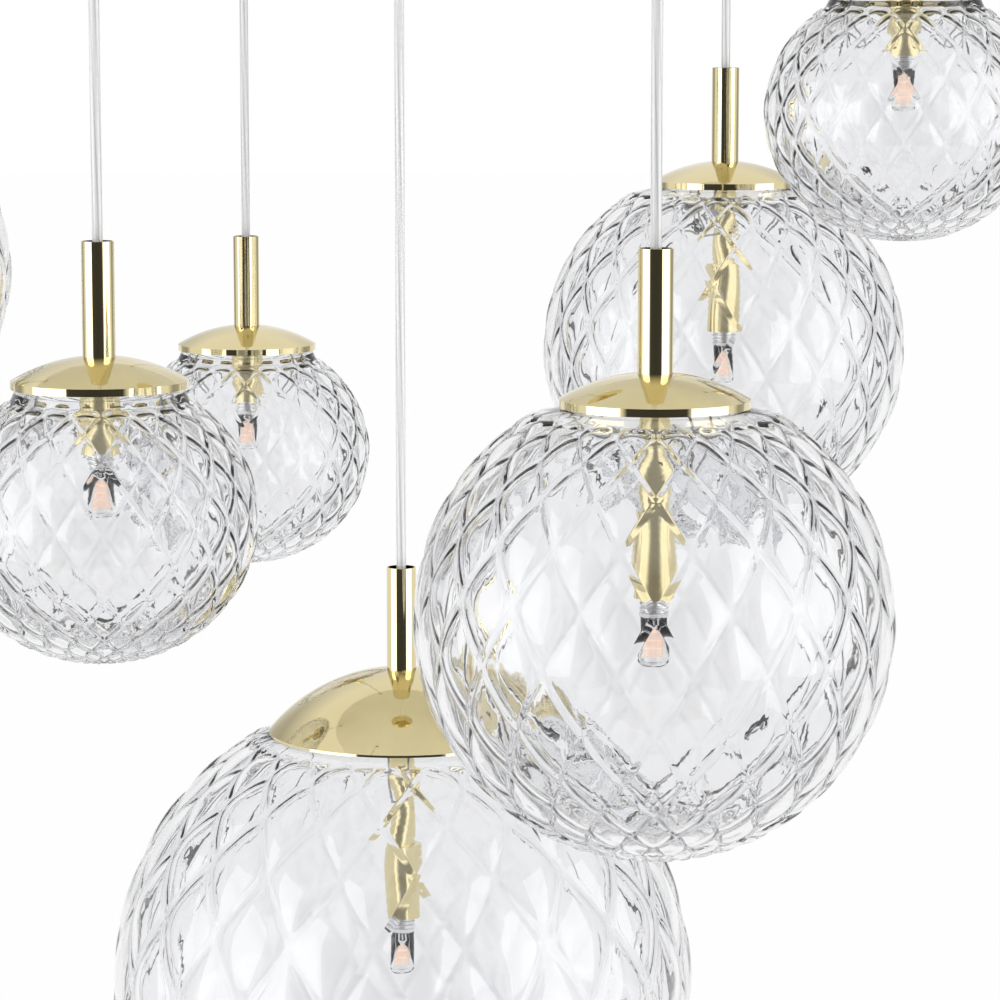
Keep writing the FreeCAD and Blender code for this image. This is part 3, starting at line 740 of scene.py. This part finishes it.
def studio_world():
    """White room for the camera; metal and glass see bright sides and a dark camera end."""
    world = bpy.data.worlds.new("studio")
    bpy.context.scene.world = world
    world.use_nodes = True
    tree = world.node_tree
    background = tree.nodes["Background"]
    path = tree.nodes.new("ShaderNodeLightPath").outputs
    parts = separate(tree, "Generated")
    side = math_node(tree, "ABSOLUTE", parts[0])
    toward = math_node(tree, "MULTIPLY", parts[1], -1.0)
    azimuth = math_node(tree, "DIVIDE", math_node(tree, "ARCTAN2", side, toward), math.pi)
    height = math_node(tree, "MULTIPLY_ADD", parts[2], 0.5, 0.5)
    overhead = ramp(tree, height, OVERHEAD)
    wall = ramp(tree, azimuth, WALL_IN_METAL)
    metal = mix_colour(tree, overhead, wall, grey(CEILING_IN_METAL))
    beyond = ramp(tree, azimuth, WALL_THROUGH_GLASS)
    through = mix_colour(tree, overhead, beyond, grey(CEILING_THROUGH_GLASS))
    colour = mix_colour(tree, path["Is Glossy Ray"], grey(ROOM_LIGHT), metal)
    colour = mix_colour(tree, path["Is Transmission Ray"], colour, through)
    colour = mix_colour(tree, path["Is Camera Ray"], colour, grey(1.0))
    tree.links.new(colour, background.inputs["Color"])
    boxes = mix_colour(tree, overhead, ramp(tree, azimuth, SIDE_BOXES), grey(0.0))
    boxes = math_node(tree, "MULTIPLY", boxes, path["Is Transmission Ray"])
    gain = math_node(tree, "MULTIPLY_ADD", boxes, SIDE_BOX_GAIN, 1.0)
    tree.links.new(gain, background.inputs["Strength"])


def floor():
    """White floor that glows evenly where it is seen, keeps shadows and is clear from below."""
    material, tree, shader, output = new_material("floor_white")
    shader.inputs["Base Color"].default_value = grey(0.86)
    shader.inputs["Roughness"].default_value = 0.6
    path = tree.nodes.new("ShaderNodeLightPath").outputs
    glow = tree.nodes.new("ShaderNodeEmission").outputs[0]
    seen = math_node(tree, "ADD", path["Is Camera Ray"], path["Is Glossy Ray"])
    seen = math_node(tree, "ADD", seen, path["Is Transmission Ray"])
    seen = math_node(tree, "MULTIPLY", math_node(tree, "MINIMUM", seen, 1.0), FLOOR_GLOW)
    above = mix_shader(tree, seen, shader.outputs[0], glow)
    clear = tree.nodes.new("ShaderNodeBsdfTransparent").outputs[0]
    below = tree.nodes.new("ShaderNodeNewGeometry").outputs["Backfacing"]
    tree.links.new(mix_shader(tree, below, above, clear), output.inputs["Surface"])
    ends = ((-FLOOR_SIDE, FLOOR_FRONT), (FLOOR_SIDE, FLOOR_FRONT))
    ends += ((FLOOR_SIDE, FLOOR_BACK), (-FLOOR_SIDE, FLOOR_BACK))
    corners = [(x, y, FLOOR_HEIGHT) for x, y in ends]
    add_mesh("floor", corners, [(0, 1, 2, 3)], material, smooth=False)


def area_lamp(name, place, target, size, power, in_metal):
    data = bpy.data.lights.new(name, "AREA")
    data.shape = "RECTANGLE"
    data.size, data.size_y = size
    data.energy = power
    lamp = link_object(name, data)
    lamp.location = place
    lamp.visible_camera = False
    lamp.visible_transmission = False
    lamp.visible_glossy = in_metal
    x, y, z = (t - p for t, p in zip(target, place))
    lamp.rotation_euler = (math.atan2(math.hypot(x, y), -z), 0, math.atan2(y, x) - math.pi / 2)


def camera():
    data = bpy.data.cameras.new("camera")
    data.lens = CAMERA_LENS
    data.sensor_fit = "HORIZONTAL"
    data.sensor_width = CAMERA_SENSOR
    data.clip_end = CAMERA_REACH
    thing = link_object("camera", data)
    thing.location = CAMERA_PLACE
    thing.rotation_euler = (math.pi / 2 - CAMERA_TILT, 0, 0)
    bpy.context.scene.camera = thing


dress_cad_nodes()
for pendant in PENDANTS:
    globe(pendant)
    cord(pendant)
    bulb(pendant)
studio_world()
floor()
for lamp_row in LAMPS:
    area_lamp(*lamp_row)
camera()
bpy.context.scene.view_settings.view_transform = "Standard"
